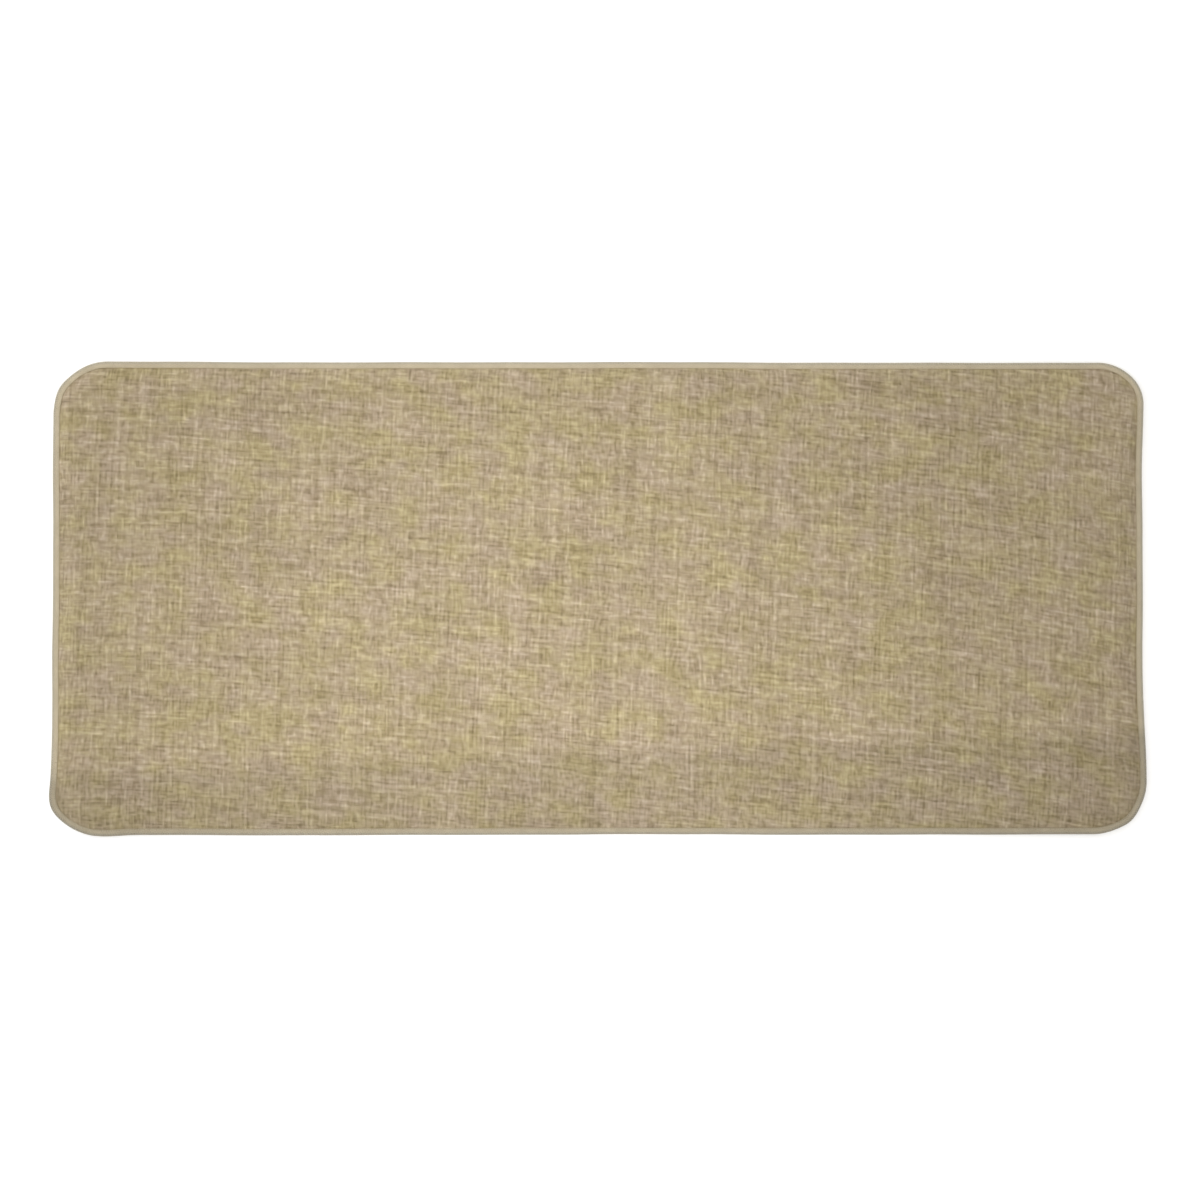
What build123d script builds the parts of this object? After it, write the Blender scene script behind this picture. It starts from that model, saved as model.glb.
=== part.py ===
from build123d import *
import math
import os

# Anti fatigue mat: a cloth-faced foam mat with a felt and rubber-net underside,
# closed all round by a three-thread overlock seam.
# Millimetres. +Z is up, +X runs along the mat, -Y is the side that the user steps onto from.
# The origin is the middle of the face that rests on the floor.

# ---- Driving dimensions ----
mat_length = 1000.0
mat_width = 434.0
mat_height = 12.0

# The corners are cut by hand, so their radii differ.
radius_back_left = 50.0
radius_back_right = 41.0
radius_front_right = 48.0
radius_front_left = 43.0

# Layers, from the floor up. The foam fills what is left of the height.
net_thickness = 0.7
felt_thickness = 0.8
web_thickness = 0.1
cloth_thickness = 0.9
foam_at_edge = 2.0

# Overlock seam: yarn wrapped round the squeezed edge.
yarn_thickness = 0.6
seam_bite = 5.4
needle_thread_radius = 0.3
edge_rounding = 0.7

# The cloth rises from the seam to the flat middle within this distance of the cut edge.
shoulder_end = 24.0
# Curved layers are a swept rim outside this line and a flat sheet inside it.
rim_width = 27.0

# Rubber net: round cells in staggered rows, inside a solid border.
net_inset = 9.0
net_border = 4.0
net_pitch = 20.0
net_cell_radius = 7.5

# ---- Heights of the layers ----
felt_bottom = net_thickness
felt_top = felt_bottom + felt_thickness
foam_bottom = felt_top + web_thickness
cloth_bottom = mat_height - cloth_thickness
foam_top = cloth_bottom - web_thickness

foam_edge_top = foam_bottom + foam_at_edge
cloth_edge_bottom = foam_edge_top + web_thickness
cloth_edge_top = cloth_edge_bottom + cloth_thickness
seam_top = cloth_edge_top + yarn_thickness
seam_bottom = felt_bottom - yarn_thickness
seam_middle = (seam_top + seam_bottom) / 2

# ---- Distances in from the cut edge ----
layer_edge = yarn_thickness
rounding_end = layer_edge + edge_rounding
shoulder_foot = seam_bite + 2 * needle_thread_radius

# The shoulder is one arc, level where it meets the flat middle.
# Every layer's arc has the same centre, so the sheets keep their thickness on the slope.
shoulder_rise = mat_height - cloth_edge_top
shoulder_run = shoulder_end - shoulder_foot
shoulder_radius = (shoulder_run**2 + shoulder_rise**2) / (2 * shoulder_rise)
shoulder_centre = mat_height - shoulder_radius


def draw_outline(inset):
    """Lines and tangent corner arcs of the mat's outline, moved inwards by inset."""
    right = mat_length / 2 - inset
    back = mat_width / 2 - inset
    back_left = radius_back_left - inset
    back_right = radius_back_right - inset
    front_right = radius_front_right - inset
    front_left = radius_front_left - inset
    Line((0, back), (right - back_right, back))
    RadiusArc((right - back_right, back), (right, back - back_right), back_right)
    Line((right, back - back_right), (right, -back + front_right))
    RadiusArc((right, -back + front_right), (right - front_right, -back), front_right)
    Line((right - front_right, -back), (-right + front_left, -back))
    RadiusArc((-right + front_left, -back), (-right, -back + front_left), front_left)
    Line((-right, -back + front_left), (-right, back - back_left))
    RadiusArc((-right, back - back_left), (-right + back_left, back), back_left)
    Line((-right + back_left, back), (0, back))


def extrude_outline(inset, bottom, thickness):
    """Flat sheet with the mat's outline, moved inwards by inset."""
    with BuildSketch(Plane.XY.offset(bottom)) as sheet:
        with BuildLine():
            draw_outline(inset)
        make_face()
    extrude(to_extrude=sheet.sketch.face(), amount=thickness)


def from_edge(distance, height):
    """Point of a rim section, by its distance in from the cut edge and its height."""
    return (rim_width - distance, height)


def draw_shoulder(middle_height, edge_height, edge_distance):
    """Section line of a layer's face: flat middle, shoulder arc, then the level strip of the edge."""
    radius = middle_height - shoulder_centre
    foot = shoulder_end - math.sqrt(radius**2 - (edge_height - shoulder_centre) ** 2)
    Line(from_edge(rim_width, middle_height), from_edge(shoulder_end, middle_height))
    RadiusArc(from_edge(shoulder_end, middle_height), from_edge(foot, edge_height), radius)
    Line(from_edge(foot, edge_height), from_edge(edge_distance, edge_height))


# Upright plane across the back of the rim: its x runs outwards and its y is height.
rim_plane = Plane(origin=(0, mat_width / 2 - rim_width, 0), x_dir=(0, 1, 0), z_dir=(1, 0, 0))

# The line that every rim section is swept along.
with BuildLine() as rim_path:
    draw_outline(rim_width)

# ---- Face cloth: woven sheet over the foam, rounded where the seam wraps it ----
with BuildPart() as face_cloth:
    with BuildSketch(rim_plane):
        with BuildLine():
            draw_shoulder(mat_height, cloth_edge_top, rounding_end)
            RadiusArc(
                from_edge(rounding_end, cloth_edge_top),
                from_edge(layer_edge, cloth_edge_top - edge_rounding),
                edge_rounding,
            )
            Line(
                from_edge(layer_edge, cloth_edge_top - edge_rounding),
                from_edge(layer_edge, cloth_edge_bottom),
            )
            draw_shoulder(cloth_bottom, cloth_edge_bottom, layer_edge)
            Line(from_edge(rim_width, cloth_bottom), from_edge(rim_width, mat_height))
        make_face()
    sweep(path=rim_path.wires()[0])
    extrude_outline(rim_width, cloth_bottom, cloth_thickness)

# ---- Adhesive web between the cloth and the foam ----
with BuildPart() as cloth_adhesive_web:
    with BuildSketch(rim_plane):
        with BuildLine():
            draw_shoulder(cloth_bottom, cloth_edge_bottom, layer_edge)
            Line(from_edge(layer_edge, cloth_edge_bottom), from_edge(layer_edge, foam_edge_top))
            draw_shoulder(foam_top, foam_edge_top, layer_edge)
            Line(from_edge(rim_width, foam_top), from_edge(rim_width, cloth_bottom))
        make_face()
    sweep(path=rim_path.wires()[0])
    extrude_outline(rim_width, foam_top, web_thickness)

# ---- Foam core: squeezed thin under the seam ----
with BuildPart() as foam_core:
    with BuildSketch(rim_plane):
        with BuildLine():
            draw_shoulder(foam_top, foam_edge_top, layer_edge)
            Line(from_edge(layer_edge, foam_edge_top), from_edge(layer_edge, foam_bottom))
            Line(from_edge(layer_edge, foam_bottom), from_edge(rim_width, foam_bottom))
            Line(from_edge(rim_width, foam_bottom), from_edge(rim_width, foam_top))
        make_face()
    sweep(path=rim_path.wires()[0])
    extrude_outline(rim_width, foam_bottom, foam_top - foam_bottom)

# ---- Adhesive web between the foam and the felt ----
with BuildPart() as felt_adhesive_web:
    extrude_outline(layer_edge, felt_top, web_thickness)

# ---- Backing felt: flat sheet, its lower edge rounded by the seam ----
with BuildPart() as backing_felt:
    extrude_outline(layer_edge, felt_bottom, felt_thickness)
    fillet(faces().sort_by(Axis.Z)[0].edges(), radius=edge_rounding)

# ---- Grip net: rubber printed on the felt, the only face that touches the floor ----
row_pitch = net_pitch * math.sqrt(3) / 2
reach_x = mat_length / 2 - net_inset - net_border - net_cell_radius
reach_y = mat_width / 2 - net_inset - net_border - net_cell_radius
corner_centre_x = mat_length / 2 - radius_back_left
corner_centre_y = mat_width / 2 - radius_back_left
corner_reach = radius_back_left - net_inset - net_border - net_cell_radius
cell_columns = int(reach_x / net_pitch)
cell_rows = int(reach_y / row_pitch)


def in_net(x, y):
    """True where a whole cell fits inside the net's border, corners included."""
    beyond_x = max(abs(x) - corner_centre_x, 0)
    beyond_y = max(abs(y) - corner_centre_y, 0)
    return abs(x) <= reach_x and math.hypot(beyond_x, beyond_y) <= corner_reach


cell_centres = []
for row in range(-cell_rows, cell_rows + 1):
    stagger = net_pitch / 2 * (row % 2)
    for column in range(-cell_columns - 1, cell_columns + 1):
        centre = (column * net_pitch + stagger, row * row_pitch)
        if in_net(*centre):
            cell_centres.append(centre)

# The cells go in as inner wires of one face: cutting a thousand holes one by one takes minutes.
net_cells = [Wire.make_circle(net_cell_radius, Plane(origin=(x, y, 0))) for x, y in cell_centres]
with BuildPart() as grip_net:
    with BuildSketch() as net_outline:
        with BuildLine():
            draw_outline(net_inset)
        make_face()
    net_face = Face(net_outline.sketch.face().outer_wire(), net_cells)
    extrude(to_extrude=net_face, amount=net_thickness, mode=Mode.REPLACE)

# ---- Upper looper yarn: over the top of the edge and down to the middle of the rim ----
with BuildPart() as overlock_upper_looper_thread:
    with BuildSketch(rim_plane):
        with BuildLine():
            upper_arc_height = cloth_edge_top - edge_rounding
            Line(from_edge(layer_edge, seam_middle), from_edge(layer_edge, upper_arc_height))
            RadiusArc(
                from_edge(layer_edge, upper_arc_height),
                from_edge(rounding_end, cloth_edge_top),
                -edge_rounding,
            )
            Line(from_edge(rounding_end, cloth_edge_top), from_edge(seam_bite, cloth_edge_top))
            Line(from_edge(seam_bite, cloth_edge_top), from_edge(seam_bite, seam_top))
            Line(from_edge(seam_bite, seam_top), from_edge(rounding_end, seam_top))
            RadiusArc(
                from_edge(rounding_end, seam_top),
                from_edge(0, upper_arc_height),
                edge_rounding + yarn_thickness,
            )
            Line(from_edge(0, upper_arc_height), from_edge(0, seam_middle))
            Line(from_edge(0, seam_middle), from_edge(layer_edge, seam_middle))
        make_face()
    sweep(path=rim_path.wires()[0])

# ---- Lower looper yarn: the same wrap under the edge, meeting the upper yarn half way up ----
with BuildPart() as overlock_lower_looper_thread:
    mirror(overlock_upper_looper_thread.part, about=Plane.XY.offset(seam_middle))

# ---- Needle thread: lies in the ditch between the seam and the shoulder ----
with BuildPart() as overlock_needle_thread:
    with BuildSketch(rim_plane):
        needle_line = from_edge(seam_bite + needle_thread_radius, cloth_edge_top + needle_thread_radius)
        with Locations(needle_line):
            Circle(needle_thread_radius)
    sweep(path=rim_path.wires()[0])

# ---- One file for each piece ----
pieces = {
    "face_cloth": face_cloth,
    "cloth_adhesive_web": cloth_adhesive_web,
    "foam_core": foam_core,
    "felt_adhesive_web": felt_adhesive_web,
    "backing_felt": backing_felt,
    "grip_net": grip_net,
    "overlock_upper_looper_thread": overlock_upper_looper_thread,
    "overlock_lower_looper_thread": overlock_lower_looper_thread,
    "overlock_needle_thread": overlock_needle_thread,
}
os.makedirs("parts", exist_ok=True)
for name, piece in pieces.items():
    piece.part.label = name
    export_step(piece.part, f"parts/{name}.step")
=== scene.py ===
import math

import bpy
import numpy as np
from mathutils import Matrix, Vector


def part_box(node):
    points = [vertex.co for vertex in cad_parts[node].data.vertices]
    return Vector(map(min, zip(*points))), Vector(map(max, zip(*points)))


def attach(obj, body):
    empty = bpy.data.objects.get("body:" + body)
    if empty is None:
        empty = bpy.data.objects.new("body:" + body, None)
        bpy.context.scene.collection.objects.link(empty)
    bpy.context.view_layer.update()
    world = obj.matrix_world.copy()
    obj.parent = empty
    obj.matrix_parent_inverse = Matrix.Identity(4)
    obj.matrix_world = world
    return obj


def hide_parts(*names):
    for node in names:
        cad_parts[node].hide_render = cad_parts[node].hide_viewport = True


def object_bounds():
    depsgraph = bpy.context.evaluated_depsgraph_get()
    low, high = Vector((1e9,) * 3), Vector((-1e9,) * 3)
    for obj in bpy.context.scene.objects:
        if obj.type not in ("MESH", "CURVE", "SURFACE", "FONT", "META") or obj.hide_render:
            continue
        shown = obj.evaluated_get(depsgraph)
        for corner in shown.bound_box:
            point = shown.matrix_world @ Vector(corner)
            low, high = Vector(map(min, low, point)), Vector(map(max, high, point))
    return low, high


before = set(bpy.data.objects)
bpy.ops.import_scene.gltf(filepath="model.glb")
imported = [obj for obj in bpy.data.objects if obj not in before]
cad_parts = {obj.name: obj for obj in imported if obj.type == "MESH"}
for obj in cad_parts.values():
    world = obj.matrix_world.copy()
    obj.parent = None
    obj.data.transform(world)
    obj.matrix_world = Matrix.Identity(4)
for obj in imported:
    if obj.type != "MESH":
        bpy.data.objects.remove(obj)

# The looks of a cloth-faced anti fatigue mat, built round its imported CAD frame.
# Shapes are worked out in millimetres, and add_mesh turns them into metres.
MM = 0.001
ROOT = "root"
cad_low, cad_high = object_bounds()


def box_mm(node):
    """Lowest and highest corner of a CAD node, in millimetres."""
    low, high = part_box(node)
    return np.array(low) / MM, np.array(high) / MM


# ---- Sizes, from the frame ----
cloth_low, cloth_high = box_mm("face_cloth")
web_low, web_high = box_mm("cloth_adhesive_web")
foam_low, foam_high = box_mm("foam_core")
lower_web_low, lower_web_high = box_mm("felt_adhesive_web")
felt_low, felt_high = box_mm("backing_felt")
upper_seam_low, upper_seam_high = box_mm("overlock_upper_looper_thread")
needle_low, needle_high = box_mm("overlock_needle_thread")

HALF_LENGTH, HALF_WIDTH, SEAM_TOP = upper_seam_high
SEAM_MIDDLE = upper_seam_low[2]
EDGE_TOP = needle_low[2]
YARN_LAYER = SEAM_TOP - EDGE_TOP
LAYER_EDGE = HALF_LENGTH - cloth_high[0]
SEAM_BITE = HALF_LENGTH - needle_high[0]
RISE = cloth_high[2] - EDGE_TOP

# ---- Sizes that a box doesn't hold, as in the CAD source ----
RADIUS_BACK_LEFT = 50.0
RADIUS_BACK_RIGHT = 41.0
RADIUS_FRONT_RIGHT = 48.0
RADIUS_FRONT_LEFT = 43.0
EDGE_ROUNDING = 0.7
SHOULDER_END = 24.0
RIM_WIDTH = 27.0

# ---- Where the shoulder starts, a little beyond the needle thread, and how softly ----
FOOT = SEAM_BITE + 0.9
FOOT_SOFTNESS = 2.4


# ---------------------------------------------------------------------------
# Camera and light
# ---------------------------------------------------------------------------
LENS = 85.0
SENSOR = 36.0
FRAME_WIDTH = 1.0972
TILT = math.radians(1.15)
AIM = Vector((0.00215, -0.0019, cad_high.z))


def add_camera():
    """Long lens almost straight above the mat, its top towards the back edge."""
    data = bpy.data.cameras.new("camera")
    data.lens = LENS
    data.sensor_width = SENSOR
    camera = bpy.data.objects.new("camera", data)
    distance = FRAME_WIDTH * LENS / SENSOR
    back = Vector((0, -math.sin(TILT), math.cos(TILT)))
    camera.location = AIM + back * distance
    camera.rotation_euler = (TILT, 0, 0)
    bpy.context.scene.collection.objects.link(camera)
    bpy.context.scene.camera = camera


def add_area_light(name, place, aim, size, power):
    """Soft square light that looks at a point."""
    data = bpy.data.lights.new(name, "AREA")
    data.shape = "SQUARE"
    data.size = size
    data.energy = power
    light = bpy.data.objects.new(name, data)
    light.location = place
    light.rotation_euler = (Vector(aim) - Vector(place)).to_track_quat("-Z", "Y").to_euler()
    bpy.context.scene.collection.objects.link(light)


def add_spot(name, place, angle, size, power):
    """Cone of light straight down, soft to its rim, that leaves a pool on the mat."""
    data = bpy.data.lights.new(name, "SPOT")
    data.spot_size = math.radians(angle)
    data.spot_blend = 1.0
    data.shadow_soft_size = size
    data.energy = power
    light = bpy.data.objects.new(name, data)
    light.location = place
    bpy.context.scene.collection.objects.link(light)


def add_world(strength):
    """Even, almost white light from all round, which does most of the lighting."""
    world = bpy.data.worlds.new("studio")
    world.use_nodes = True
    background = world.node_tree.nodes["Background"]
    background.inputs["Color"].default_value = (1.0, 0.995, 0.985, 1)
    background.inputs["Strength"].default_value = strength
    bpy.context.scene.world = world


add_camera()
add_world(strength=0.875)
add_area_light("key", place=(-1.6, 0.9, 0.9), aim=(0, 0, 0), size=1.0, power=10.7)
add_spot("pool", place=(-0.05, -0.12, 3.4), angle=17.0, size=0.15, power=174)
bpy.context.scene.view_settings.view_transform = "Standard"


# ---------------------------------------------------------------------------
# Outline of the mat
# ---------------------------------------------------------------------------
def outline_table():
    """Distance, point and outward normal of the cut edge, from the front left corner's middle and on."""
    corners = [
        (-HALF_LENGTH, -HALF_WIDTH, RADIUS_FRONT_LEFT, 225, 270),
        (HALF_LENGTH, -HALF_WIDTH, RADIUS_FRONT_RIGHT, 270, 360),
        (HALF_LENGTH, HALF_WIDTH, RADIUS_BACK_RIGHT, 0, 90),
        (-HALF_LENGTH, HALF_WIDTH, RADIUS_BACK_LEFT, 90, 180),
        (-HALF_LENGTH, -HALF_WIDTH, RADIUS_FRONT_LEFT, 180, 225),
    ]
    points, normals = [], []
    for x, y, radius, start, end in corners:
        angles = np.radians(np.linspace(start, end, 2 * (end - start) + 1))
        normal = np.stack([np.cos(angles), np.sin(angles)], 1)
        centre = np.array([x - math.copysign(radius, x), y - math.copysign(radius, y)])
        points.append(centre + radius * normal)
        normals.append(normal)
    points, normals = np.concatenate(points), np.concatenate(normals)
    steps = np.linalg.norm(np.diff(points, axis=0), axis=1)
    return np.concatenate([[0], np.cumsum(steps)]), points, normals


table_distance, table_points, table_normals = outline_table()
PERIMETER = table_distance[-1]


def along_outline(distance):
    """Point of the cut edge and its outward normal, at distances along it."""
    wrapped = np.mod(distance, PERIMETER)
    point = np.stack([np.interp(wrapped, table_distance, table_points[:, i]) for i in (0, 1)], -1)
    normal = np.stack([np.interp(wrapped, table_distance, table_normals[:, i]) for i in (0, 1)], -1)
    return point, normal / np.linalg.norm(normal, axis=-1, keepdims=True)


def side_stations(count_x, count_y):
    """Distances along the cut edge, evenly spaced on each side between the middles of its corners."""
    outwards = np.array([(1, -1), (1, 1), (-1, 1)])
    corner_middles = table_distance[np.argmax(table_normals @ outwards.T, axis=0)]
    breaks = [0, *corner_middles, PERIMETER]
    sides = zip(breaks, breaks[1:], (count_x, count_y, count_x, count_y))
    return np.concatenate([np.linspace(start, end, count, endpoint=False) for start, end, count in sides])


# ---------------------------------------------------------------------------
# Softness: how the real mat leaves the CAD shape
# ---------------------------------------------------------------------------
# The crease runs along the mat: its y in the middle, and how much that changes along x.
CREASE_HEIGHT = -142.0
CREASE_SKEW = 0.04
# The ends stand out by this much at the front. It starts and ends this far behind the crease.
FLARE = 2.7
FLARE_START, FLARE_END = 50.0, -38.0
# Share of the width that is lost with each millimetre to the right of the taper's start.
TAPER = 4.5e-6
TAPER_START = -120.0
# In front of the crease the foam drops by this slope, which sets in over this distance.
DIP_SLOPE = 0.055
DIP_SOFTNESS = 7.0
# Small waves of the ends and of the long edges: height, length over two pi, and phase.
END_RIPPLES = [(0.25, 31, 0.6), (0.12, 13, 2.1)]
LONG_RIPPLES = [(0.25, 83, 1.3), (0.12, 37, 0), (0.08, 15.5, 0.4)]
# Places near the corners that were cut fuller than the arc: where, how far they stand out diagonally,
# and over what distance.
DIAGONAL = 0.707
FULL_CORNERS = [
    (-448, -217, 2.0, 16),
    (-498, -190, 2.4, 16),
    (486, -205, 1.8, 13),
    (500, 165, 1.5, 30),
    (498, 190, 1.3, 20),
    (-494, 191, 1.5, 12),
]
# Waves of the foam's top.
WAVE_COUNT = 48
WAVE_HEIGHT = 0.10
SHORTEST_WAVE, LONGEST_WAVE = 55.0, 330.0
# Gathers of the cloth at the seam: share of the height and how many go round the mat, and phase.
PUCKER_HEIGHT = 0.22
PUCKER_FADE = 7.0
GATHERS = [(0.5, 211, 0), (0.35, 307, 1), (0.3, 137, 2)]

random = np.random.default_rng(11)
wave_length = SHORTEST_WAVE * (LONGEST_WAVE / SHORTEST_WAVE) ** random.random(WAVE_COUNT)
wave_angle = random.random(WAVE_COUNT) * np.pi
wave_phase = random.random(WAVE_COUNT) * 2 * np.pi


def smoothstep(value, start, end):
    """0 before the start, 1 after the end, and a smooth step between them."""
    t = np.clip((value - start) / (end - start), 0, 1)
    return t * t * (3 - 2 * t)


def ripple(along, waves):
    return sum(height * np.sin(along / length + phase) for height, length, phase in waves)


def beyond_crease(x, y):
    """Distance towards the front from the crease, which runs a little askew."""
    return CREASE_HEIGHT + CREASE_SKEW * x - y


def soften_outline(x, y):
    """Moves points of the plan: the front corners flare out, and no edge is ruler straight."""
    near_end = (np.abs(x) / HALF_LENGTH) ** 6
    flare = FLARE * smoothstep(-beyond_crease(x, y), FLARE_START, FLARE_END) * near_end
    move_x = np.sign(x) * flare + ripple(y, END_RIPPLES)
    move_y = ripple(x, LONG_RIPPLES) - TAPER * y * (x - TAPER_START)
    for corner_x, corner_y, height, width in FULL_CORNERS:
        near = np.exp(-((x - corner_x) ** 2 + (y - corner_y) ** 2) / width**2)
        move_x = move_x + DIAGONAL * height * near * math.copysign(1, corner_x)
        move_y = move_y + DIAGONAL * height * near * math.copysign(1, corner_y)
    return x + move_x, y + move_y


def undulation(x, y):
    """Gentle rise and fall of the foam, in millimetres."""
    total = np.zeros_like(x)
    for length, angle, phase in zip(wave_length, wave_angle, wave_phase):
        along = x * math.cos(angle) + y * math.sin(angle)
        total += length / LONGEST_WAVE * np.sin(2 * np.pi * along / length + phase)
    return WAVE_HEIGHT * total


def loft(x, y):
    """Share of the CAD shoulder's rise that the foam keeps: lower in front of the crease."""
    beyond = beyond_crease(x, y)
    drop = DIP_SLOPE * 0.5 * (beyond + np.hypot(beyond, DIP_SOFTNESS))
    return 1 + (undulation(x, y) - drop) / RISE


def pucker(distance, inset):
    """Small gathers where the seam draws the cloth in, dying out on the shoulder."""
    turns = 2 * np.pi * distance / PERIMETER
    gather = sum(share * np.sin(count * turns + phase) for share, count, phase in GATHERS)
    rise = smoothstep(inset, FOOT - 0.5, FOOT + 3)
    return PUCKER_HEIGHT * gather * rise * np.exp(-np.maximum(inset - FOOT, 0) / PUCKER_FADE)


# ---------------------------------------------------------------------------
# Mesh helpers
# ---------------------------------------------------------------------------
def add_mesh(name, points, faces, node, attributes=None):
    """Smooth mesh piece from points in millimetres. It rides on the mat and stands for a CAD node."""
    mesh = bpy.data.meshes.new(name)
    mesh.from_pydata((np.asarray(points) * MM).tolist(), [], np.asarray(faces).tolist())
    mesh.update()
    mesh.polygons.foreach_set("use_smooth", [True] * len(mesh.polygons))
    for key, values in (attributes or {}).items():
        layer = mesh.attributes.new(key, "FLOAT_VECTOR", "POINT")
        layer.data.foreach_set("vector", np.asarray(values, np.float32).ravel())
    piece = bpy.data.objects.new(name, mesh)
    bpy.context.scene.collection.objects.link(piece)
    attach(piece, ROOT)
    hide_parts(node)
    return piece


class Plan:
    """Quads over the mat's plan: a grid inside the rim line and rings outside it."""

    def __init__(self, count_x, count_y, insets):
        self.stations = side_stations(count_x, count_y)
        self.count = len(self.stations)
        point, normal = along_outline(self.stations)
        inner = point - normal * RIM_WIDTH
        grid = self.fill(inner, count_x, count_y)
        rings = [point - normal * inset for inset in insets]
        self.xy = np.concatenate([grid, *rings])
        grid_size = len(grid)
        self.inset = np.concatenate([np.full(grid_size, RIM_WIDTH), np.repeat(insets, self.count)])
        self.distance = np.concatenate([np.zeros(grid_size), np.tile(self.stations, len(insets))])
        self.normal = np.concatenate([np.zeros((grid_size, 2)), np.tile(normal, (len(insets), 1))])
        self.rings = [self.rim_of_grid(count_x, count_y)]
        self.rings += [grid_size + k * self.count + np.arange(self.count) for k in range(len(insets))]
        self.faces = self.grid_faces(count_x, count_y)
        for inside, outside in zip(self.rings, self.rings[1:]):
            self.faces = np.concatenate([self.faces, band(outside, inside)])
        self.edge = self.rings[-1]

    @staticmethod
    def fill(rim, count_x, count_y):
        """Points blended between the four sides of the rim line."""
        front = rim[: count_x + 1]
        right = rim[count_x : count_x + count_y + 1]
        back = rim[count_x + count_y : 2 * count_x + count_y + 1][::-1]
        left = np.concatenate([rim[2 * count_x + count_y :], rim[:1]])[::-1]
        u = np.linspace(0, 1, count_x + 1)[None, :, None]
        v = np.linspace(0, 1, count_y + 1)[:, None, None]
        sides = (1 - v) * front[None] + v * back[None] + (1 - u) * left[:, None] + u * right[:, None]
        front_corners = (1 - u) * front[0] + u * front[-1]
        back_corners = (1 - u) * back[0] + u * back[-1]
        return (sides - (1 - v) * front_corners - v * back_corners).reshape(-1, 2)

    @staticmethod
    def rim_of_grid(count_x, count_y):
        """Indices of the grid's border, anticlockwise from the front left."""
        index = np.arange((count_x + 1) * (count_y + 1)).reshape(count_y + 1, count_x + 1)
        return np.concatenate([index[0, :-1], index[:-1, -1], index[-1, :0:-1], index[:0:-1, 0]])

    @staticmethod
    def grid_faces(count_x, count_y):
        index = np.arange((count_x + 1) * (count_y + 1)).reshape(count_y + 1, count_x + 1)
        quads = [index[:-1, :-1], index[:-1, 1:], index[1:, 1:], index[1:, :-1]]
        return np.stack([q.ravel() for q in quads], 1)


def band(lower, upper):
    """Quads between two closed loops of points, facing outwards where the loops run anticlockwise."""
    return np.stack([lower, np.roll(lower, -1), np.roll(upper, -1), upper], 1)


def shoulder(inset, middle, edge):
    """Height of a curved layer's face by its inset: the CAD section, eased at its foot."""
    run = SHOULDER_END - FOOT
    top_radius = (run**2 + RISE**2) / (2 * RISE)
    centre = cloth_high[2] - top_radius
    radius = middle - centre
    across = np.clip(SHOULDER_END - inset, 0, radius)
    rise = centre + np.sqrt(radius**2 - across**2) - edge
    eased = (rise + FOOT_SOFTNESS) ** 2 / (4 * FOOT_SOFTNESS)
    return edge + np.where(np.abs(rise) < FOOT_SOFTNESS, eased, np.maximum(rise, 0))


def rounded_edge(inset, height, radius, sign):
    """Turns a face over at the cut edge: sign 1 takes a top face down, -1 takes an underside up."""
    across = np.clip(LAYER_EDGE + radius - inset, 0, radius)
    return height - sign * (radius - np.sqrt(radius**2 - across**2))


def curved_face(plan, middle, edge):
    """Heights of a layer that follows the soft foam."""
    height = edge + (shoulder(plan.inset, middle, edge) - edge) * loft(plan.xy[:, 0], plan.xy[:, 1])
    on_rim = plan.inset < RIM_WIDTH
    return height + np.where(on_rim, pucker(plan.distance, plan.inset), 0)


def flat_cloth(plan, height):
    """Where each point lay before the cloth was bent over the shoulder, so the weave isn't stretched."""
    flat = plan.xy.copy()
    length = np.zeros(plan.count)
    start = plan.xy[plan.rings[0]]
    for inside, outside in zip(plan.rings, plan.rings[1:]):
        step = np.linalg.norm(plan.xy[outside] - plan.xy[inside], axis=1)
        length = length + np.hypot(step, height[outside] - height[inside])
        flat[outside] = start + plan.normal[outside] * length[:, None]
    return np.column_stack([flat, height])


def add_layer(name, plan, top, bottom, node):
    """Closed sheet between a top face and an underside that share one plan."""
    x, y = soften_outline(plan.xy[:, 0], plan.xy[:, 1])
    points = np.concatenate([np.column_stack([x, y, top]), np.column_stack([x, y, bottom])])
    size = len(plan.xy)
    faces = np.concatenate([plan.faces, plan.faces[:, ::-1] + size, band(plan.edge + size, plan.edge)])
    flat = flat_cloth(plan, top)
    return add_mesh(name, points, faces, node, {"flat_mm": np.concatenate([flat, flat])})


# ---------------------------------------------------------------------------
# Sheets and foam
# ---------------------------------------------------------------------------
# Rings of points, by their distance in from the cut edge: close together where a face bends.
shoulder_rings = [23, 20, 17.5, 15.2, 13.1, 11.3, 9.8, 8.7, 7.8, 7.0, FOOT, 5.6, 4.6]
rounded_rings = [1.3, 1.0, 0.75, LAYER_EDGE]
inner_rings = [22, 17, 13, 10, 8, 7, FOOT, 5, LAYER_EDGE]
fine_plan = Plan(250, 108, shoulder_rings + rounded_rings)
coarse_plan = Plan(125, 54, inner_rings)
felt_plan = Plan(125, 54, [12, 5, 2] + rounded_rings)


def add_face_cloth():
    top = curved_face(fine_plan, cloth_high[2], EDGE_TOP)
    bottom = curved_face(fine_plan, web_high[2], cloth_low[2])
    top = rounded_edge(fine_plan.inset, top, EDGE_ROUNDING, 1)
    return add_layer("woven_face", fine_plan, top, bottom, "face_cloth")


def add_cloth_web():
    top = curved_face(coarse_plan, web_high[2], cloth_low[2])
    bottom = curved_face(coarse_plan, foam_high[2], web_low[2])
    name = "adhesive_web_under_cloth"
    return add_layer(name, coarse_plan, top, bottom, "cloth_adhesive_web")


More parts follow.
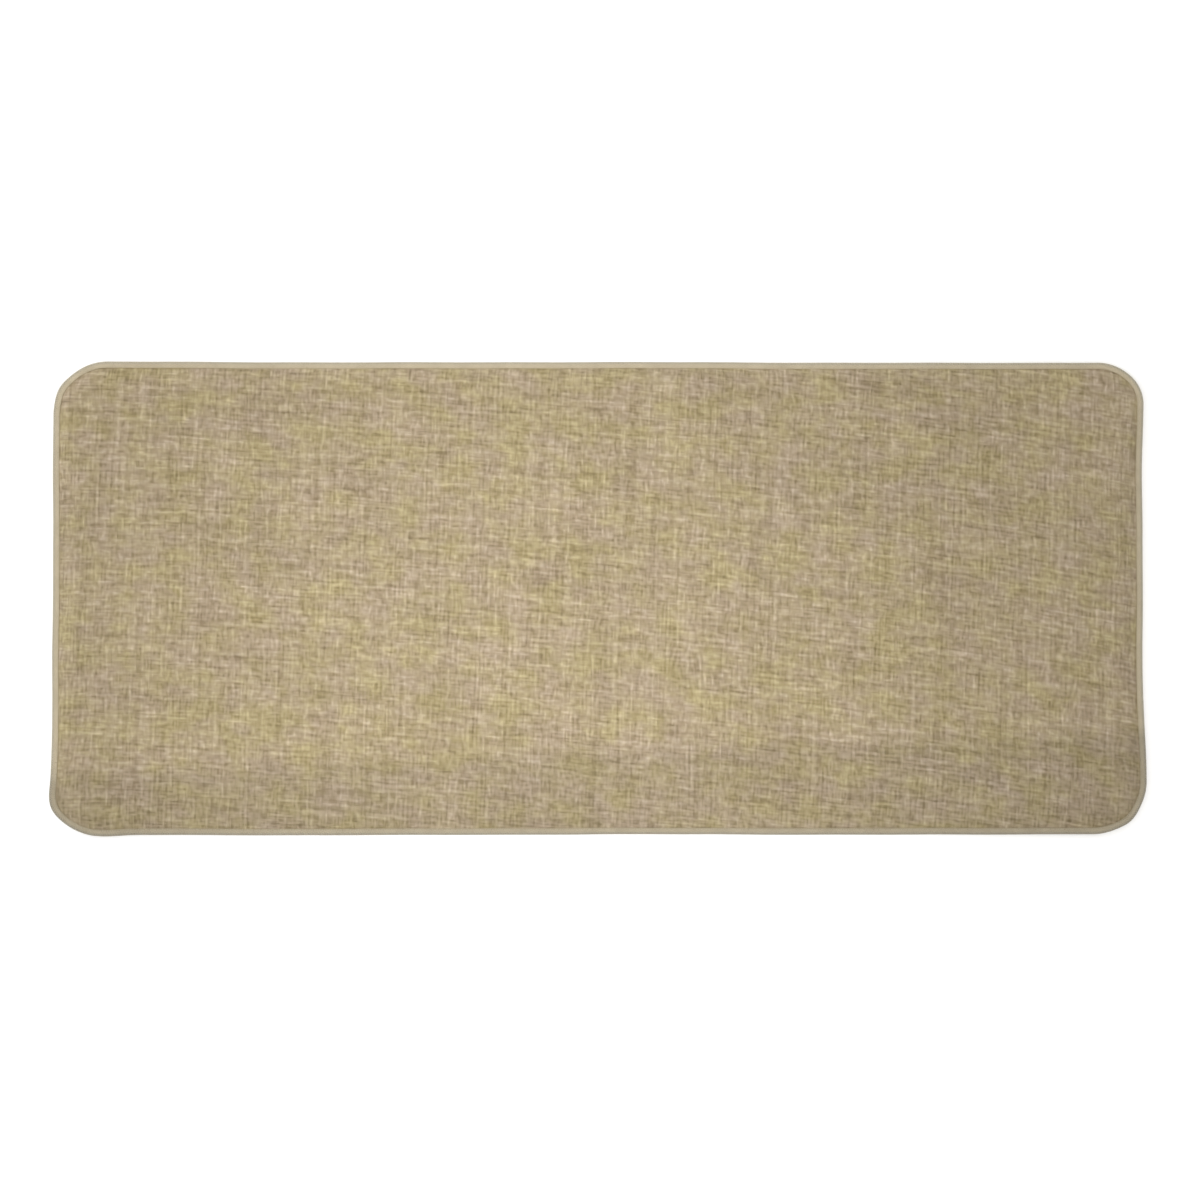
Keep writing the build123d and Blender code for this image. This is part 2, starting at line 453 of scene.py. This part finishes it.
def add_foam():
    top = curved_face(coarse_plan, foam_high[2], web_low[2])
    bottom = np.full_like(top, foam_low[2])
    return add_layer("foam_pad", coarse_plan, top, bottom, "foam_core")


def add_felt_web():
    top = np.full(len(coarse_plan.xy), lower_web_high[2])
    bottom = np.full_like(top, lower_web_low[2])
    name = "adhesive_web_over_felt"
    return add_layer(name, coarse_plan, top, bottom, "felt_adhesive_web")


def add_felt():
    top = np.full(len(felt_plan.xy), felt_high[2])
    bottom = np.full_like(top, felt_low[2])
    bottom = rounded_edge(felt_plan.inset, bottom, EDGE_ROUNDING, -1)
    return add_layer("needled_felt", felt_plan, top, bottom, "backing_felt")


woven_face = add_face_cloth()
cloth_web = add_cloth_web()
foam_pad = add_foam()
felt_web = add_felt_web()
needled_felt = add_felt()


# ---------------------------------------------------------------------------
# Overlock seam
# ---------------------------------------------------------------------------
STITCH = 2.2
STITCHES = round(PERIMETER / STITCH)
PITCH = PERIMETER / STITCHES
YARN_HALF_WIDTH = 0.63
YARN_HALF_HEIGHT = 0.37
NEEDLE_RADIUS = 0.27
# The purl line, where the loopers hook each other, is drawn up to the outer edge of the top face.
PURL_SHARE = 0.58
PURL_OVERLAP = 0.05
# The loops reach a little past the needle line, where the needle thread holds them.
NEEDLE_REACH = 1.09
NEEDLE_OFFSET = 0.5
# How uneven the stitches are: sway along the edge, place, reach and thickness.
SWAY = 0.06
UNEVEN_PLACE = 0.035
UNEVEN_REACH = 0.012
UNEVEN_THICKNESS = 0.03


def wrap_section(share):
    """Centre line of a looper yarn across the seam, and which way it faces.

    Share 0 is the middle of the rim, 1 the needle line above and -1 the needle line below.
    """
    side = np.where(share < 0, -1.0, 1.0)
    bend = EDGE_ROUNDING + YARN_LAYER / 2
    centre_inset, centre_height = LAYER_EDGE + EDGE_ROUNDING, EDGE_TOP - EDGE_ROUNDING
    upright = centre_height - SEAM_MIDDLE
    arc = bend * math.pi / 2
    level = SEAM_BITE - centre_inset
    travel = np.abs(share) * (upright + arc + level)
    turn = np.clip((travel - upright) / bend, 0, math.pi / 2)
    climb = np.minimum(travel - upright, 0)
    run = np.maximum(travel - upright - arc, 0)
    inset = centre_inset - bend * np.cos(turn) + run
    height = centre_height + bend * np.sin(turn) + climb
    return inset, SEAM_MIDDLE + side * (height - SEAM_MIDDLE), np.cos(turn), side * np.sin(turn)


def seam_points(distance, inset, height):
    """Points beside the cut edge, moved with the soft outline."""
    point, normal = along_outline(distance)
    flat = point - normal * inset[:, None]
    x, y = soften_outline(flat[:, 0], flat[:, 1])
    return np.column_stack([x, y, height]), normal


def tube(points, facing, half_width, half_height, sides):
    """Closed loop of yarn: an oval section swept along points, its flat side towards facing."""
    ahead = np.roll(points, -1, 0) - np.roll(points, 1, 0)
    ahead /= np.linalg.norm(ahead, axis=1, keepdims=True)
    across = np.cross(facing, ahead)
    across /= np.linalg.norm(across, axis=1, keepdims=True)
    up = np.cross(ahead, across)
    angles = 2 * np.pi * np.arange(sides) / sides
    ring = (
        across[:, None] * (np.cos(angles)[None, :] * half_width[:, None])[..., None]
        + up[:, None] * (np.sin(angles)[None, :] * half_height[:, None])[..., None]
    )
    shape = (points[:, None] + ring).reshape(-1, 3)
    index = np.arange(len(points) * sides).reshape(-1, sides)
    following = np.roll(index, -1, 0)
    beside = np.roll(index, -1, 1)
    across_following = np.roll(following, -1, 1)
    faces = np.stack([index, beside, across_following, following], -1).reshape(-1, 4)
    travel = np.concatenate([[0], np.cumsum(np.linalg.norm(np.diff(points, axis=0), axis=1))])
    yarn = np.stack(np.broadcast_arrays(travel[:, None], angles[None, :] / (2 * np.pi), 0.0), -1)
    return shape, faces, yarn.reshape(-1, 3)


def looper(seed, shift, purl, mirrored, samples, sides):
    """Zigzag of one looper yarn round the whole edge, between the purl line and the needle line."""
    generator = np.random.default_rng(seed)
    stitch = np.repeat(np.arange(STITCHES), samples)
    phase = np.tile(np.arange(samples) / samples, STITCHES)
    uneven = generator.normal(0, UNEVEN_PLACE, STITCHES)[stitch]
    sway = SWAY * np.sin(4 * np.pi * phase) + uneven * np.sin(np.pi * phase)
    place = PITCH * (stitch + phase + shift + sway)
    reach = 1 + generator.normal(0, UNEVEN_REACH, STITCHES)[stitch]
    # Half way between a zigzag and a cosine: rounded turns with straight runs between them.
    wave = 0.5 * (1 - np.abs(1 - 2 * phase)) + 0.5 * (0.5 - 0.5 * np.cos(2 * np.pi * phase))
    inset, height, outward, upward = wrap_section(purl + (NEEDLE_REACH * reach - purl) * wave)
    if mirrored:
        height, upward = 2 * SEAM_MIDDLE - height, -upward
    points, normal = seam_points(place, inset, height)
    facing = np.column_stack([normal * outward[:, None], upward])
    slub = 1 + 0.06 * np.sin(stitch * 0.37 + 2 * np.sin(stitch * 0.11))
    slub = slub + generator.normal(0, UNEVEN_THICKNESS, STITCHES)[stitch]
    # The yarn is drawn thin at both of its turns.
    turning = 1 - 0.22 * np.cos(2 * np.pi * phase) ** 8
    return tube(points, facing, YARN_HALF_WIDTH * slub * turning, YARN_HALF_HEIGHT * slub, sides)


def needle_stitches():
    """Needle thread: a stitch along the top, down through every layer, a small loop below and back up."""
    top = SEAM_TOP + 0.12
    below = felt_low[2] - 0.28
    # Share of the way along the stitch, millimetres aside towards the edge, and height.
    keys = [
        (0.02, 0.0, EDGE_TOP),
        (0.14, -0.05, top),
        (0.50, 0.02, top + 0.08),
        (0.86, 0.05, top),
        (0.96, 0.0, EDGE_TOP),
        (0.97, 0.0, felt_low[2]),
        (0.80, -0.35, below),
        (0.62, -0.75, below + 0.05),
        (0.78, -0.60, below + 0.1),
        (0.99, -0.1, felt_low[2]),
    ]
    along = np.tile([k[0] for k in keys], STITCHES)
    aside = np.tile([k[1] for k in keys], STITCHES)
    height = np.tile([k[2] for k in keys], STITCHES)
    stitch = np.repeat(np.arange(STITCHES), len(keys))
    place = PITCH * (stitch + along + 0.5)
    points, normal = seam_points(place, SEAM_BITE + NEEDLE_OFFSET - aside, height)
    facing = np.column_stack([0.9 * normal, np.full(len(points), 0.44)])
    size = np.full(len(points), NEEDLE_RADIUS)
    return tube(points, facing, size, size, 6)


def add_thread(name, made, node):
    shape, faces, yarn = made
    return add_mesh(name, shape, faces, node, {"yarn_mm": yarn})


upper_yarn = looper(3, 0.0, PURL_SHARE - PURL_OVERLAP, False, 12, 6)
lower_yarn = looper(5, 0.5, -PURL_SHARE - PURL_OVERLAP, True, 15, 5)
needle_yarn = needle_stitches()
upper_loops = add_thread("seam_upper_loops", upper_yarn, "overlock_upper_looper_thread")
lower_loops = add_thread("seam_lower_loops", lower_yarn, "overlock_lower_looper_thread")
stitches = add_thread("seam_needle_stitches", needle_yarn, "overlock_needle_thread")


# ---------------------------------------------------------------------------
# Materials
# ---------------------------------------------------------------------------
def colour(red, green, blue):
    """Linear colour from screen values of 0 to 255."""
    channels = [c / 255 for c in (red, green, blue)]
    linear = [c / 12.92 if c <= 0.04045 else ((c + 0.055) / 1.055) ** 2.4 for c in channels]
    return (*linear, 1)


class Shader:
    """One node material, with short calls for the nodes that the looks below use."""

    def __init__(self, name):
        self.material = bpy.data.materials.new(name)
        self.material.use_nodes = True
        self.tree = self.material.node_tree
        self.surface = self.tree.nodes["Principled BSDF"]

    def feed(self, socket, value):
        if isinstance(value, bpy.types.NodeSocket):
            self.tree.links.new(value, socket)
        else:
            socket.default_value = value

    def node(self, kind, inputs=(), **settings):
        made = self.tree.nodes.new(kind)
        for key, value in settings.items():
            setattr(made, key, value)
        for key, value in dict(inputs).items():
            self.feed(made.inputs[key], value)
        return made

    def math(self, operation, *values):
        return self.node("ShaderNodeMath", enumerate(values), operation=operation).outputs[0]

    def add(self, a, b):
        return self.math("ADD", a, b)

    def times(self, a, b):
        return self.math("MULTIPLY", a, b)

    def vector(self, x, y, z=0.0):
        return self.node("ShaderNodeCombineXYZ", {"X": x, "Y": y, "Z": z}).outputs[0]

    def attribute(self, name):
        """The three numbers that a mesh stores at each point."""
        stored = self.node("ShaderNodeAttribute", attribute_name=name).outputs["Vector"]
        split = self.node("ShaderNodeSeparateXYZ", {"Vector": stored})
        return split.outputs["X"], split.outputs["Y"], split.outputs["Z"]

    def noise(self, vector, scale=1.0, detail=1.0, roughness=0.5):
        inputs = {"Vector": vector, "Scale": scale, "Detail": detail, "Roughness": roughness}
        return self.node("ShaderNodeTexNoise", inputs).outputs[0]

    def patches(self, x, y, size_x, size_y, seed, detail, roughness=0.5):
        """Noise over a plane, in patches of about the given sizes."""
        place = self.vector(self.times(x, 1 / size_x), self.times(y, 1 / size_y), seed)
        return self.noise(place, detail=detail, roughness=roughness)

    def spread(self, value, low, high, new_low=0.0, new_high=1.0):
        """Value from one range to another, held at its ends."""
        inputs = {0: value, 1: low, 2: high, 3: new_low, 4: new_high}
        return self.node("ShaderNodeMapRange", inputs).outputs[0]

    def ramp(self, value, stops):
        """Colour by a value, from stops of position and colour."""
        made = self.node("ShaderNodeValToRGB", {"Fac": value})
        while len(made.color_ramp.elements) < len(stops):
            made.color_ramp.elements.new(0.5)
        for element, (position, tint) in zip(made.color_ramp.elements, stops):
            element.position = position
            element.color = tint
        return made.outputs["Color"]

    def mix(self, share, a, b, blend="MIX"):
        """Two colours mixed. The node's colour sockets go by index, as other types share their names."""
        made = self.node("ShaderNodeMix", data_type="RGBA", blend_type=blend)
        self.feed(made.inputs["Factor"], share)
        self.feed(made.inputs[6], a)
        self.feed(made.inputs[7], b)
        return made.outputs[2]

    def shade(self, tint, share):
        """Colour multiplied by a number."""
        grey = self.node("ShaderNodeCombineColor", {"Red": share, "Green": share, "Blue": share})
        return self.mix(1.0, tint, grey.outputs[0], "MULTIPLY")

    def bump(self, height, distance, strength=1.0):
        inputs = {"Height": height, "Distance": distance, "Strength": strength}
        self.feed(self.surface.inputs["Normal"], self.node("ShaderNodeBump", inputs).outputs[0])

    def finish(self, base, roughness, sheen=0.0, specular=0.3):
        self.feed(self.surface.inputs["Base Color"], base)
        self.feed(self.surface.inputs["Roughness"], roughness)
        self.surface.inputs["Sheen Weight"].default_value = sheen
        self.surface.inputs["Sheen Roughness"].default_value = 0.6
        self.surface.inputs["Specular IOR Level"].default_value = specular
        return self.material


# Share of its brightness that the front strip keeps under painted shade, and over what distance that sets
# in.
STRIP_SHADE = 0.865
STRIP_BLUR = 7.0


def front_strip_shade(s, x, y):
    """Share of its brightness that the cloth keeps under painted shade: less in front of the crease."""
    ragged = s.patches(x, y, 40, 25, 6.0, detail=2.0)
    crease = s.math("MULTIPLY_ADD", x, CREASE_SKEW, CREASE_HEIGHT)
    line = s.math("MULTIPLY_ADD", s.add(ragged, -0.5), 2 * STRIP_BLUR, crease)
    return s.spread(s.math("SUBTRACT", line, y), -STRIP_BLUR, STRIP_BLUR, 1.0, STRIP_SHADE)


# Spacing of the yarns, and how long a yarn keeps its tone, in each direction.
WARP_PITCH, WARP_RUN = 0.86, 8.5
WEFT_PITCH, WEFT_RUN = 0.90, 9.5
# Yarns wander sideways by a few pitches.
WANDER = 3.0
# How far a yarn rises over the ones that it crosses.
CRIMP = 0.38
# How much of a yarn's tone changes over short and over long runs. The rest is the same everywhere.
SHORT_TONE = 0.45
LONG_TONE = 0.33
EVEN_TONE = (1 - SHORT_TONE - LONG_TONE) / 2
LONG_RUN = 95
# How much the noise moves on from one yarn to the next: neighbours are more alike in tone.
TONE_STEP = 0.36
SLUB_STEP = 0.8
# Thick places of a yarn: how long they are, and how much they stand above its thin ones.
SLUB_RUN = 8.0
SLUB_SIZE = 2.4
# The cloth was laid a little askew: its warp leans, and its weft falls ever more steeply to the right.
WARP_LEAN = 0.033
WEFT_FALL = (0.016, 0.007, 0.018, 0.090)


def yarn_family(s, across, along, pitch, run, seed):
    """Parallel yarns: each one's parity, weave wave, crown with its slubs, spun tone and fibre grain."""
    drift = s.patches(along, across, 70, 45, seed, detail=1.0)
    place = s.add(s.times(across, 1 / pitch), s.times(drift, WANDER))
    index = s.math("FLOOR", place)
    side = s.math("MULTIPLY_ADD", s.math("FRACT", place), 2.0, -1.0)
    parity = s.math("COSINE", s.times(index, math.pi))
    wave = s.math("COSINE", s.times(s.add(place, -0.5), math.pi))
    short_place = s.vector(s.times(along, 1 / run), s.times(index, TONE_STEP), seed + 3.7)
    short = s.noise(short_place, detail=1.5)
    long_place = s.vector(s.times(along, 1 / LONG_RUN), s.times(index, TONE_STEP), seed + 6.3)
    long = s.noise(long_place, detail=2.0)
    tone = s.math("MULTIPLY_ADD", short, SHORT_TONE, s.math("MULTIPLY_ADD", long, LONG_TONE, EVEN_TONE))
    fibre_row = s.add(s.times(index, 7.3), s.times(side, 1.7))
    fibre = s.noise(s.vector(s.times(along, 1.1), fibre_row, seed + 5.1), detail=2.0)
    slub_place = s.vector(s.times(along, 1 / SLUB_RUN), s.times(index, SLUB_STEP), seed + 9.9)
    slub = s.noise(slub_place, detail=1.0)
    crown = s.math("SUBTRACT", 1.0, s.times(side, side))
    crown = s.math("MULTIPLY_ADD", s.add(slub, -0.5), SLUB_SIZE, crown)
    return {"parity": parity, "wave": wave, "crown": crown, "tone": tone, "fibre": fibre}


def heather_weave():
    """Linen-look plain weave: spun yarns whose tone changes along their length, in both directions."""
    s = Shader("heather_weave")
    x, y, _ = s.attribute("flat_mm")
    share_x = s.times(x, 1 / HALF_LENGTH)
    fall = WEFT_FALL[0]
    for term in WEFT_FALL[1:]:
        fall = s.math("MULTIPLY_ADD", fall, share_x, term)
    across_warp = s.math("MULTIPLY_ADD", y, -WARP_LEAN, x)
    across_weft = s.math("MULTIPLY_ADD", x, fall, y)
    warp = yarn_family(s, across_warp, y, WARP_PITCH, WARP_RUN, seed=1.3)
    weft = yarn_family(s, across_weft, x, WEFT_PITCH, WEFT_RUN, seed=8.9)
    weft_height = s.math("MULTIPLY_ADD", s.times(warp["wave"], weft["parity"]), CRIMP, weft["crown"])
    warp_height = s.math("MULTIPLY_ADD", s.times(weft["wave"], warp["parity"]), -CRIMP, warp["crown"])
    over = s.spread(s.math("SUBTRACT", weft_height, warp_height), -0.12, 0.12)
    height = s.math("MAXIMUM", weft_height, warp_height)

    def chosen(key):
        """What the yarn that lies on top has there."""
        lower, upper = warp[key], weft[key]
        return s.add(lower, s.times(s.math("SUBTRACT", upper, lower), over))

    tone, fibre = chosen("tone"), chosen("fibre")
    spun = s.ramp(tone, [
        (0.33, colour(113, 98, 72)),
        (0.45, colour(152, 137, 111)),
        (0.50, colour(169, 154, 130)),
        (0.56, colour(185, 170, 148)),
        (0.67, colour(214, 200, 181)),
    ])
    patch = s.patches(across_warp, across_weft, 31, 24, 4.2, detail=4.0, roughness=0.55)
    tint = s.ramp(patch, [
        (0.36, colour(254, 250, 247)),
        (0.50, colour(253, 251, 237)),
        (0.64, colour(252, 252, 223)),
    ])
    wide = s.patches(x, across_weft, 120, 80, 2.0, detail=3.0)
    blotch = s.patches(across_warp, across_weft, 14, 10, 7.7, detail=3.0)
    clouds = s.times(s.spread(wide, 0.3, 0.7, 0.96, 1.04), s.spread(blotch, 0.3, 0.7, 0.94, 1.06))
    # Painted shade: the cloth is darker where its yarns lie low, in the gaps between them.
    gap_shade = s.spread(height, 0.15, 1.05, 0.80, 1.0)
    grain = s.spread(fibre, 0.3, 0.7, 0.93, 1.06)
    # The cloth's colour carries painted shade here, in the gaps between yarns and on the front strip,
    # with its real fibre grain and clouds of tone.
    share = s.times(s.times(gap_shade, grain), s.times(front_strip_shade(s, x, y), clouds))
    base = s.shade(s.mix(1.0, spun, tint, "MULTIPLY"), share)
    s.bump(s.add(height, s.times(fibre, 0.25)), 0.00020, 0.7)
    return s.finish(base, s.spread(fibre, 0.3, 0.7, 0.82, 0.95), sheen=0.10)


def object_mm(s):
    """Place on the object in millimetres."""
    place = s.node("ShaderNodeTexCoord").outputs["Object"]
    return s.node("ShaderNodeVectorMath", {0: place, "Scale": 1 / MM}, operation="SCALE").outputs[0]


def twisted_yarn(name, light, dark, twist, plies, relief):
    """Spun thread: plies that wind round it, with loose filaments."""
    s = Shader(name)
    light, dark = colour(*light), colour(*dark)
    along, angle, _ = s.attribute("yarn_mm")
    turn = s.add(s.times(along, twist), s.times(angle, float(plies)))
    ply = s.math("SINE", s.times(turn, 2 * math.pi))
    vector = s.vector(s.times(along, 0.8), s.times(angle, 9.0), 0.7)
    fuzz = s.noise(vector, scale=2.0, detail=3.0)
    slow = s.noise(s.vector(s.times(along, 0.02), 0.0, 3.1), detail=2.0)
    share = s.add(s.times(fuzz, 0.7), s.times(ply, 0.16))
    base = s.mix(s.spread(s.add(share, s.times(slow, 0.3)), 0.25, 0.75), dark, light)
    place = s.node("ShaderNodeSeparateXYZ", {"Vector": object_mm(s)})
    # Painted shade of the front strip, taken twice over on the seam yarn.
    front_shade = front_strip_shade(s, place.outputs["X"], place.outputs["Y"])
    base = s.shade(base, s.times(front_shade, front_shade))
    s.bump(s.add(s.times(ply, 0.5), fuzz), relief, 0.7)
    return s.finish(base, s.spread(fuzz, 0.3, 0.7, 0.7, 0.92), sheen=0.15)


def felt_look():
    """Needled felt: matted fibres that lie every way."""
    s = Shader("needled_felt")
    x, y, _ = s.attribute("flat_mm")
    total = None
    for turn in (0.2, 0.95, 1.7, 2.5):
        u = s.add(s.times(x, math.cos(turn)), s.times(y, math.sin(turn)))
        v = s.add(s.times(x, -math.sin(turn)), s.times(y, math.cos(turn)))
        fibres = s.noise(s.vector(s.times(u, 0.22), s.times(v, 2.4), turn), detail=2.0, roughness=0.6)
        total = fibres if total is None else s.math("MAXIMUM", total, fibres)
    clump = s.noise(s.vector(s.times(x, 0.06), s.times(y, 0.06), 1.0), detail=3.0)
    tone = s.add(s.times(total, 0.75), s.times(clump, 0.3))
    base = s.ramp(tone, [
        (0.45, colour(126, 112, 86)),
        (0.62, colour(176, 160, 128)),
        (0.80, colour(206, 194, 165)),
    ])
    s.bump(total, 0.0003, 0.8)
    return s.finish(base, 0.95, sheen=0.2, specular=0.15)


def rubber_look():
    """Printed thermoplastic rubber: matt, finely grained, with scuffs."""
    s = Shader("grip_rubber")
    place = object_mm(s)
    grain = s.noise(place, scale=3.0, detail=3.0)
    cloud = s.noise(place, scale=0.02, detail=4.0, roughness=0.6)
    base = s.mix(s.spread(cloud, 0.35, 0.65), colour(132, 119, 94), colour(150, 136, 110))
    base = s.shade(base, s.spread(grain, 0.3, 0.7, 0.92, 1.05))
    s.bump(grain, 0.00012, 0.6)
    return s.finish(base, s.spread(grain, 0.3, 0.7, 0.48, 0.66), specular=0.4)


def foam_look():
    """Fine open-cell foam."""
    s = Shader("open_cell_foam")
    place = object_mm(s)
    cells = s.node("ShaderNodeTexVoronoi", {"Vector": place, "Scale": 1.4}).outputs["Distance"]
    cloud = s.noise(place, scale=0.03, detail=3.0)
    base = s.mix(s.spread(cells, 0.1, 0.7), colour(222, 214, 190), colour(240, 234, 214))
    base = s.shade(base, s.spread(cloud, 0.3, 0.7, 0.95, 1.02))
    s.bump(cells, 0.0003, 0.7)
    return s.finish(base, s.spread(cells, 0.0, 0.7, 0.95, 0.82), specular=0.2)


def web_look():
    """Hot-melt web: a net of fine glossy strands."""
    s = Shader("hot_melt_web")
    place = object_mm(s)
    cells = s.node("ShaderNodeTexVoronoi", {"Vector": place, "Scale": 0.5}, feature="DISTANCE_TO_EDGE")
    strand = s.spread(cells.outputs["Distance"], 0.02, 0.12, 1.0, 0.0)
    base = s.mix(strand, colour(214, 208, 190), colour(246, 244, 232))
    s.bump(strand, 0.0001, 0.6)
    return s.finish(base, s.spread(strand, 0.0, 1.0, 0.6, 0.35), specular=0.5)


# The floor gives off a little light of its own, so that it is as white as the photo's ground.
FLOOR_GLOW = 0.26


def floor_look():
    """Pale floor that is clear from below, so that the underside can be seen."""
    s = Shader("pale_floor")
    place = object_mm(s)
    cloud = s.noise(place, scale=0.004, detail=2.0)
    base = s.mix(cloud, (0.93, 0.93, 0.93, 1), (0.95, 0.95, 0.945, 1))
    s.finish(base, 0.9, specular=0.1)
    s.feed(s.surface.inputs["Emission Color"], base)
    s.surface.inputs["Emission Strength"].default_value = FLOOR_GLOW
    below = s.node("ShaderNodeNewGeometry").outputs["Backfacing"]
    clear = s.node("ShaderNodeBsdfTransparent").outputs[0]
    both = s.node("ShaderNodeMixShader", {0: below, 1: s.surface.outputs[0], 2: clear}).outputs[0]
    s.feed(s.tree.nodes["Material Output"].inputs["Surface"], both)
    return s.material


def dress(piece, material):
    piece.data.materials.clear()
    piece.data.materials.append(material)


CREAM = (218, 205, 178), (174, 161, 134)
# The lower loops' darker, greyer yarn is painted shade for the seam's outer side.
SHADE_GREY = (207, 199, 179), (163, 155, 135)
TAN = (214, 200, 168), (172, 158, 126)
adhesive = web_look()
dress(woven_face, heather_weave())
dress(cloth_web, adhesive)
dress(felt_web, adhesive)
dress(foam_pad, foam_look())
dress(needled_felt, felt_look())
dress(upper_loops, twisted_yarn("upper_seam_yarn", *CREAM, twist=0.55, plies=2, relief=0.00012))
dress(lower_loops, twisted_yarn("lower_seam_yarn", *SHADE_GREY, twist=0.55, plies=2, relief=0.00012))
dress(stitches, twisted_yarn("needle_yarn", *TAN, twist=1.4, plies=3, relief=0.00006))
dress(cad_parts["grip_net"], rubber_look())


# ---------------------------------------------------------------------------
# Floor, sizes and the end
# ---------------------------------------------------------------------------
# How far the floor reaches, in metres. How far it lies below the mat and its hole inside the edge.
FLOOR_REACH = 14.0
FLOOR_DROP = 0.3
HOLE_INSET = 5.5
HOLE_POINTS = 160


def add_floor():
    """Disc with a hole under the mat, so that light from below reaches the underside."""
    point, normal = along_outline(np.linspace(0, PERIMETER, HOLE_POINTS, endpoint=False))
    hole = point - normal * HOLE_INSET
    far = hole / np.linalg.norm(hole, axis=1, keepdims=True) * FLOOR_REACH / MM
    rings = [hole + (far - hole) * share for share in (1.0, 0.1, 0.0)]
    points = np.column_stack([np.concatenate(rings), np.full(3 * len(hole), -FLOOR_DROP)]) * MM
    index = np.arange(len(points)).reshape(3, -1)
    faces = np.concatenate([band(index[0], index[1]), band(index[1], index[2])])
    mesh = bpy.data.meshes.new("floor")
    mesh.from_pydata(points.tolist(), [], faces.tolist())
    floor = bpy.data.objects.new("floor", mesh)
    bpy.context.scene.collection.objects.link(floor)
    dress(floor, floor_look())


add_floor()
